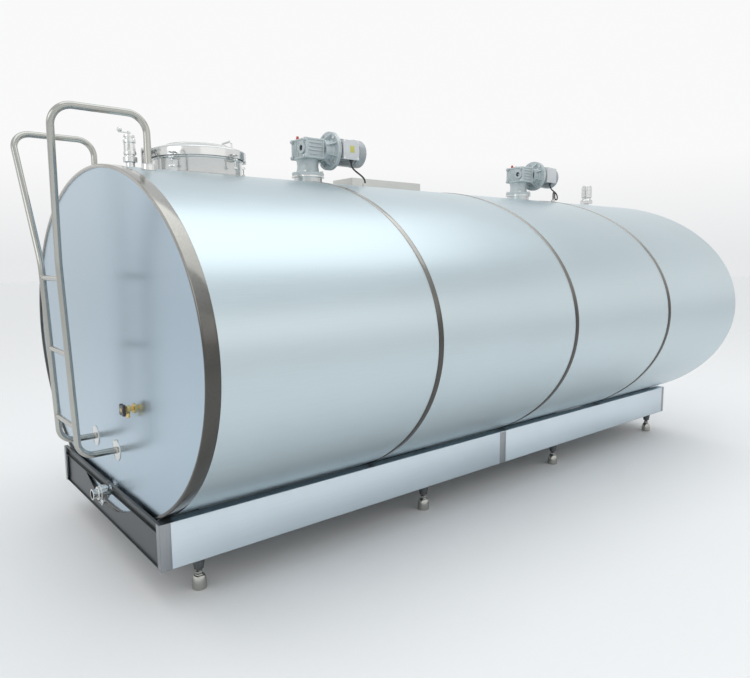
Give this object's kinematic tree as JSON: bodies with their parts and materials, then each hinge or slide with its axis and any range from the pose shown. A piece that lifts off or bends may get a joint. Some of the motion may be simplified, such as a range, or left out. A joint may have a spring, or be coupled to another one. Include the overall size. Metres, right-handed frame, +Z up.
{
  "type": "bulk milk tank",
  "caption": "Closed oval insulated milk cooling tank on a skirted base, with hinged manway, geared agitators, walk-through ladder, outlet valve and levelling feet.",
  "frame": {"origin": "on the floor, under the middle of the whole object's box", "axes": "+X from the outlet and ladder end to the far end, +Y to the left when facing +X, +Z up"},
  "size_m": [4.2316, 2.2, 1.98],
  "materials": {
    "clad_steel": "satin with a long soft grain",
    "end_steel": "bright satin",
    "bright_steel": "polished",
    "vessel_steel": "dairy grade, smooth",
    "base_steel": "satin sheet",
    "dark_steel": "darker folded sheet and section",
    "cast_grey": "grey enamel over castings",
    "worm_bronze": "cut bronze",
    "foam": "foamed in place",
    "copper": "drawn copper",
    "rubber": "matt",
    "plug_red": "moulded",
    "valve_brass": "turned",
    "knob_black": "moulded"
  },
  "bodies": {
    "tank": {"outer_shell": "clad_steel", "front_end_plate": "end_steel", "rear_end_plate": "end_steel", "front_edge_band": "bright_steel", "shell_bands": "bright_steel", "insulation": "foam", "inner_vessel": "vessel_steel", "cooling_plate": "vessel_steel", "refrigerant_pipes": "copper", "manway_neck": "bright_steel", "lid_gasket": "rubber", "lid_hinge_bracket": "bright_steel", "lid_hinge_pin": "bright_steel", "clamp_lugs": "bright_steel", "agitator_ports": "bright_steel", "shaft_seals": "rubber", "gearbox_1": "cast_grey", "gearbox_2": "cast_grey", "motor_1": "cast_grey", "motor_2": "cast_grey", "fan_cowls": "cast_grey", "terminal_boxes": "cast_grey", "motor_cable_1": "rubber", "motor_cable_2": "rubber", "drive_bolts": "bright_steel", "breather_plugs": "plug_red", "inlet_valve": "bright_steel", "vent": "bright_steel", "outlet_pipe": "bright_steel", "outlet_valve": "bright_steel", "sample_valve": "valve_brass", "base_frame": "dark_steel", "skirt_panels": "base_steel", "ledge_plates": "base_steel", "front_rail": "dark_steel", "corner_posts": "dark_steel", "foot_sockets": "dark_steel", "levelling_feet": "bright_steel", "ladder_rails": "bright_steel", "ladder_rungs": "bright_steel", "ladder_mounts": "bright_steel", "cable_duct": "base_steel"},
    "lid": {"manway_lid": "bright_steel", "lid_handle": "bright_steel"},
    "outlet_lever": {"outlet_lever": "bright_steel"},
    "inlet_lever": {"inlet_lever": "bright_steel"},
    "sample_knob": {"sample_knob": "knob_black"},
    "clamp_1": {"clamp_bolt_1": "bright_steel"},
    "clamp_2": {"clamp_bolt_2": "bright_steel"},
    "clamp_3": {"clamp_bolt_3": "bright_steel"},
    "clamp_4": {"clamp_bolt_4": "bright_steel"},
    "clamp_5": {"clamp_bolt_5": "bright_steel"},
    "agitator_1": {"agitator_shaft_1": "vessel_steel", "agitator_paddle_1": "vessel_steel", "worm_wheel_1": "worm_bronze"},
    "rotor_1": {"rotor_1": "vessel_steel"},
    "agitator_2": {"agitator_shaft_2": "vessel_steel", "agitator_paddle_2": "vessel_steel", "worm_wheel_2": "worm_bronze"},
    "rotor_2": {"rotor_2": "vessel_steel"}
  },
  "joints": [
    {"name": "lid_hinge", "type": "hinge", "parent": "tank", "child": "lid", "pos_m": [-1.63916, 0, 1.801], "axis": [0, -1, 0], "range_deg": [0, 82]},
    {"name": "clamp_1_swing", "type": "hinge", "parent": "tank", "child": "clamp_1", "pos_m": [-1.58071, -0.14653, 1.755], "axis": [-0.6157, 0.788, 0], "range_deg": [0, 180]},
    {"name": "clamp_2_swing", "type": "hinge", "parent": "tank", "child": "clamp_2", "pos_m": [-1.31567, -0.22503, 1.755], "axis": [-0.9455, -0.3256, 0], "range_deg": [0, 180]},
    {"name": "clamp_3_swing", "type": "hinge", "parent": "tank", "child": "clamp_3", "pos_m": [-1.15516, 0, 1.755], "axis": [0, -1, 0], "range_deg": [0, 180]},
    {"name": "clamp_4_swing", "type": "hinge", "parent": "tank", "child": "clamp_4", "pos_m": [-1.31567, 0.22503, 1.755], "axis": [0.9455, -0.3256, 0], "range_deg": [0, 180]},
    {"name": "clamp_5_swing", "type": "hinge", "parent": "tank", "child": "clamp_5", "pos_m": [-1.58071, 0.14653, 1.755], "axis": [0.6157, 0.788, 0], "range_deg": [0, 180]},
    {"name": "agitator_1_spin", "type": "hinge", "parent": "tank", "child": "agitator_1", "pos_m": [-0.77316, 0, 1.703], "axis": [0, 0, 1], "continuous": true},
    {"name": "motor_1_spin", "type": "hinge", "parent": "tank", "child": "rotor_1", "pos_m": [-0.57316, -0.05, 1.88], "axis": [1, 0, 0], "continuous": true},
    {"name": "agitator_2_spin", "type": "hinge", "parent": "tank", "child": "agitator_2", "pos_m": [1.01184, 0, 1.703], "axis": [0, 0, 1], "continuous": true},
    {"name": "motor_2_spin", "type": "hinge", "parent": "tank", "child": "rotor_2", "pos_m": [1.21184, -0.05, 1.88], "axis": [1, 0, 0], "continuous": true},
    {"name": "outlet_lever_turn", "type": "hinge", "parent": "tank", "child": "outlet_lever", "pos_m": [-1.93116, -0.06, 0.292], "axis": [0, 0, 1], "range_deg": [0, 90]},
    {"name": "inlet_lever_turn", "type": "hinge", "parent": "tank", "child": "inlet_lever", "pos_m": [-1.68816, 0, 1.853], "axis": [0, 0, 1], "range_deg": [0, 90]},
    {"name": "sample_knob_turn", "type": "hinge", "parent": "tank", "child": "sample_knob", "pos_m": [-1.92316, -0.4, 0.726], "axis": [1, 0, 0], "range_deg": [0, 270]}
  ],
  "couplings": [
    {"joint": "motor_1_spin", "follows": "agitator_1_spin", "ratio": 40},
    {"joint": "motor_2_spin", "follows": "agitator_2_spin", "ratio": 40}
  ]
}
